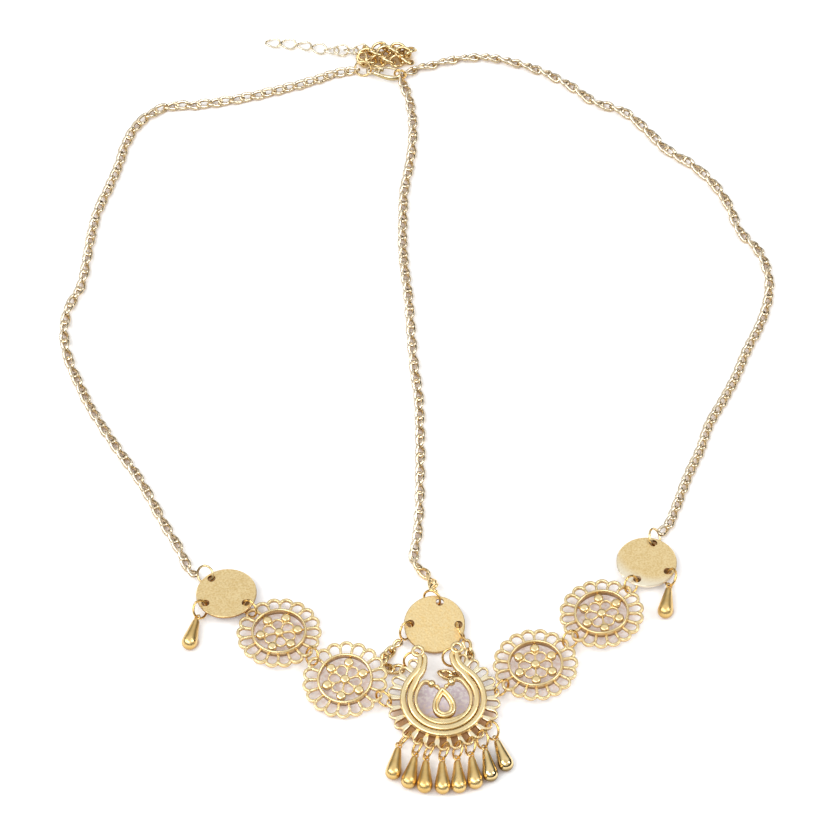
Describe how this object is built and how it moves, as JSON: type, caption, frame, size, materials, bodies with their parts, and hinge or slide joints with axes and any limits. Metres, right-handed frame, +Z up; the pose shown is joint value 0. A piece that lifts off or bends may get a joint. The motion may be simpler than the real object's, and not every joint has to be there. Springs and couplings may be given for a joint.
{
  "type": "forehead chain",
  "caption": "Gold forehead chain: two side chains and a middle chain run from a clasp to a front of coins, pierced rosettes and a lyre-shaped pendant with hanging drops.",
  "frame": {"origin": "middle of the whole lying object in x and y, on the surface it lies on", "axes": "+Y from the front of the ornament back to the clasp, +Z up out of the surface, +X to the right seen from above"},
  "size_m": [0.1852, 0.2456, 0.0065],
  "materials": {
    "coin_gold": "matt gold plate",
    "cast_gold": "satin cast gold plate",
    "drop_gold": "polished gold plate",
    "ring_gold": "bright gold plated wire",
    "chain_gold": "bright pale gold plated links",
    "clasp_gold": "polished gold plate"
  },
  "bodies": {
    "chain_set": {"coin_left": "coin_gold", "coin_centre": "coin_gold", "coin_right": "coin_gold", "rosette_left_outer": "cast_gold", "rosette_left_inner": "cast_gold", "rosette_right_inner": "cast_gold", "rosette_right_outer": "cast_gold", "pendant": "cast_gold", "drop_left": "drop_gold", "drop_right": "drop_gold", "drop_1": "drop_gold", "drop_2": "drop_gold", "drop_3": "drop_gold", "drop_4": "drop_gold", "drop_5": "drop_gold", "drop_6": "drop_gold", "drop_7": "drop_gold", "drop_8": "drop_gold", "drop_ring_1": "ring_gold", "drop_ring_2": "ring_gold", "drop_ring_3": "ring_gold", "drop_ring_4": "ring_gold", "drop_ring_5": "ring_gold", "drop_ring_6": "ring_gold", "drop_ring_7": "ring_gold", "drop_ring_8": "ring_gold", "drop_ring_left": "ring_gold", "drop_ring_right": "ring_gold", "chain_ring_left": "ring_gold", "chain_ring_right": "ring_gold", "chain_ring_middle": "ring_gold", "coin_rosette_ring_left": "ring_gold", "coin_rosette_ring_right": "ring_gold", "rosette_ring_left": "ring_gold", "rosette_ring_right": "ring_gold", "pendant_ring_left": "ring_gold", "pendant_ring_right": "ring_gold", "centre_ring_left": "ring_gold", "centre_ring_right": "ring_gold", "lug_ring_left": "ring_gold", "lug_ring_right": "ring_gold", "short_chain_left": "chain_gold", "short_chain_right": "chain_gold", "chain_left": "chain_gold", "chain_right": "chain_gold", "chain_middle": "chain_gold", "clasp_ring": "ring_gold", "clasp_body": "clasp_gold", "end_ring": "ring_gold", "extension_start": "chain_gold", "extension_middle": "chain_gold", "extension_end": "chain_gold"},
    "lever": {"clasp_lever": "clasp_gold"}
  },
  "joints": [
    {"name": "clasp_lever_hinge", "type": "hinge", "parent": "chain_set", "child": "lever", "pos_m": [-0.01026, 0.1087, 0.0018], "axis": [0, 0, -1], "range_deg": [0, 12], "stiffness_Nm_per_rad": 0.02}
  ]
}
